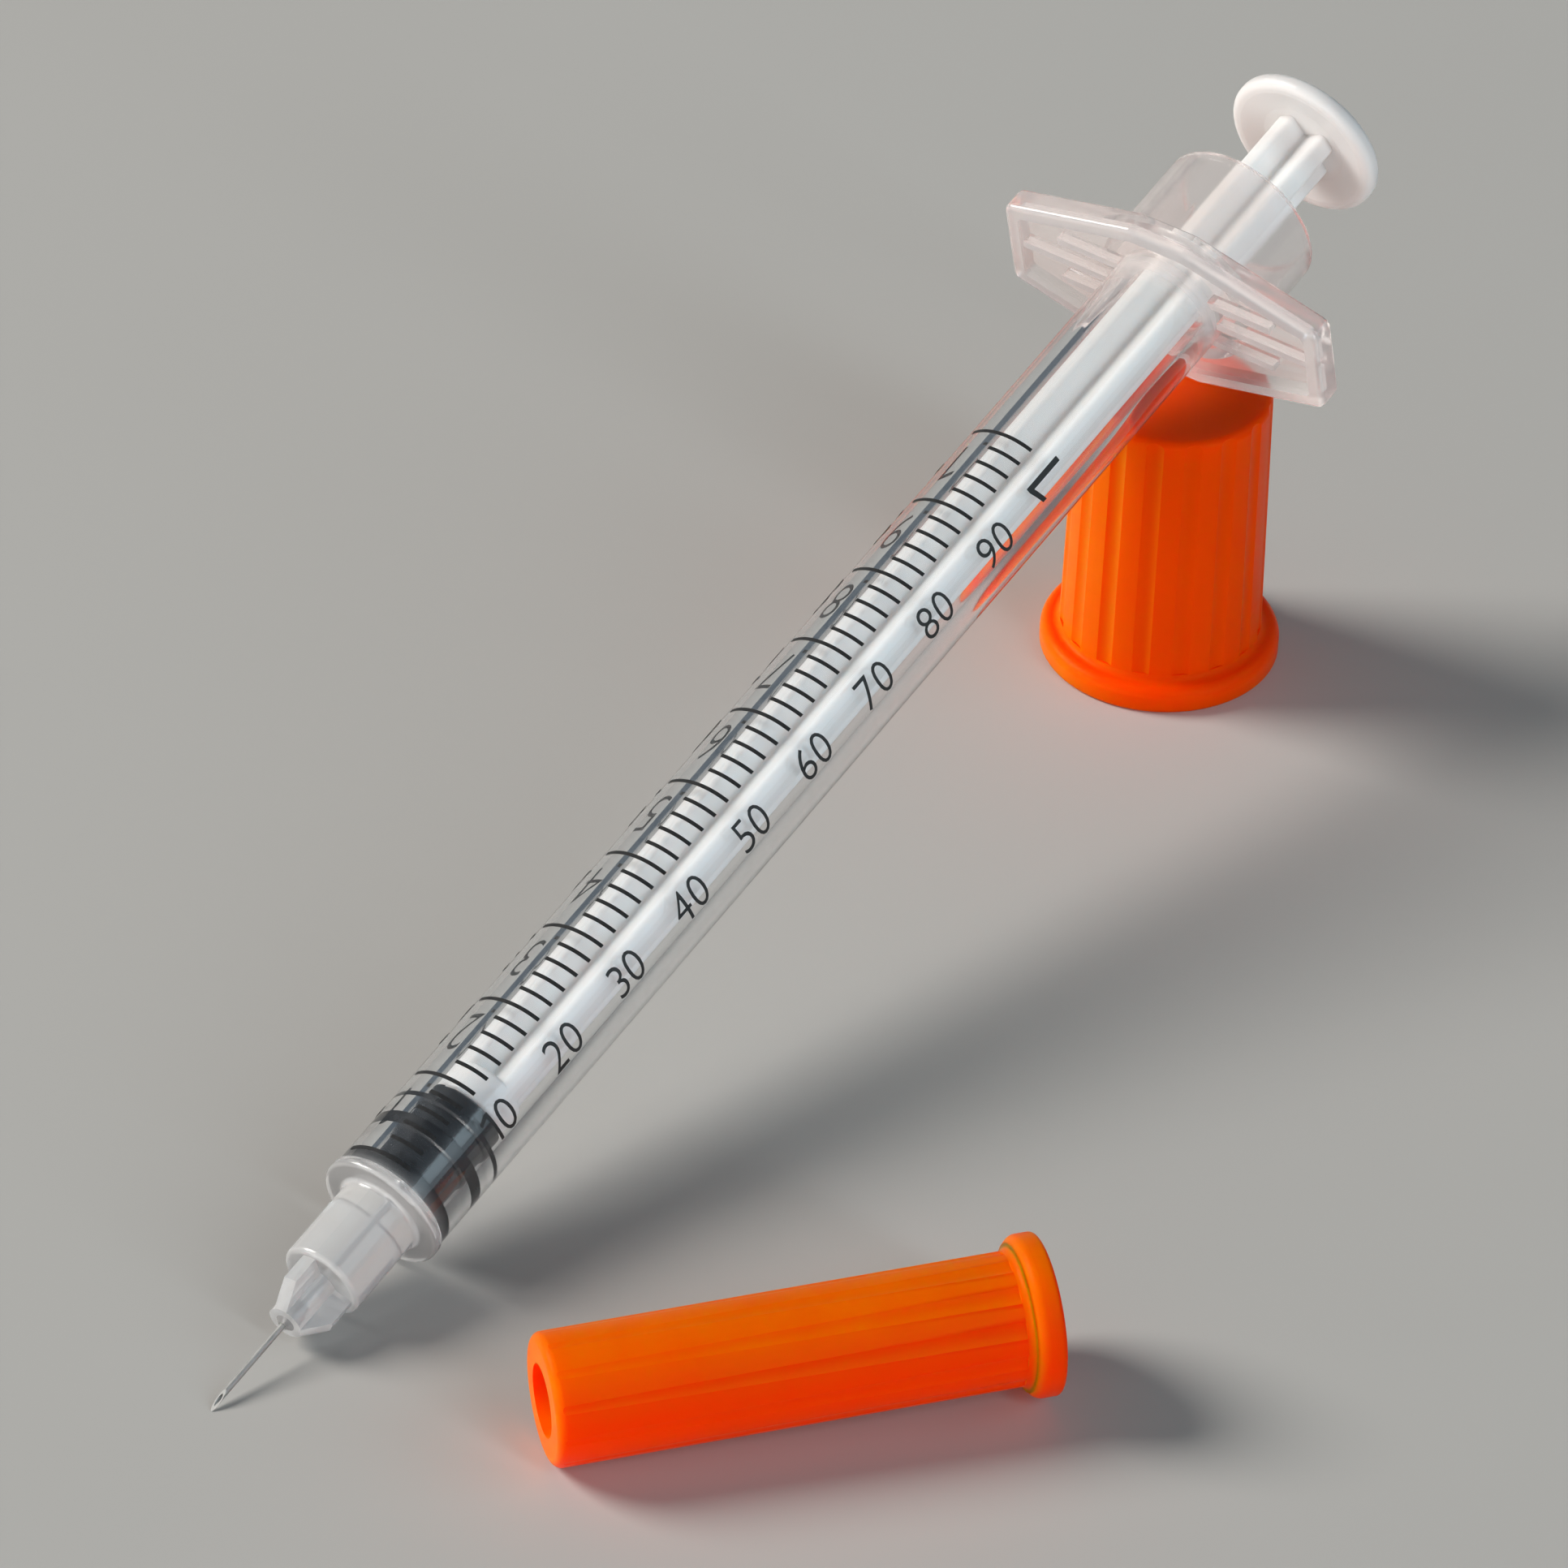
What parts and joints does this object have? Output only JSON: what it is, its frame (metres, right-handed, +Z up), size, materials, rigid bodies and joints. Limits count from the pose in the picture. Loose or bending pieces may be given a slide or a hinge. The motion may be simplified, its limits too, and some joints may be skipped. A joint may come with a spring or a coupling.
{
  "type": "insulin syringe",
  "caption": "Clear one-millilitre syringe with a fixed needle, finger flange and sliding white plunger, propped on its orange plunger cap, with its orange needle shield lying beside it.",
  "frame": {"origin": "centre of the plunger cap's open mouth, on the surface that everything lies on", "axes": "+Z up, along the standing plunger cap; +X from the needle towards the thumb disc, along the syringe's plan; +Y to the left when looking along +X"},
  "size_m": [0.1, 0.0455, 0.0306],
  "materials": {
    "clear_plastic": "clear, slightly milky moulded plastic",
    "needle_steel": "drawn and polished",
    "adhesive": "glossy bead, dark where it wets the needle",
    "gasket_rubber": "smooth, lubricated",
    "white_plastic": "satin white moulding",
    "orange_plastic": "satin, slightly glossy orange moulding"
  },
  "bodies": {
    "barrel": {"barrel": "clear_plastic", "needle": "needle_steel", "needle_adhesive": "adhesive", "plunger_cap": "orange_plastic", "needle_shield": "orange_plastic"},
    "gasket": {"gasket": "gasket_rubber"},
    "plunger_rod": {"plunger_rod": "white_plastic"}
  },
  "joints": [
    {"name": "plunger_slide", "type": "slide", "parent": "barrel", "child": "gasket", "axis": [0.9671, 0, 0.2544], "range_m": [0, 0.06]},
    {"name": "rod_turn", "type": "hinge", "parent": "gasket", "child": "plunger_rod", "pos_m": [-0.06359, 0.0011, 0.00574], "axis": [0.9671, 0, 0.2544], "continuous": true}
  ]
}
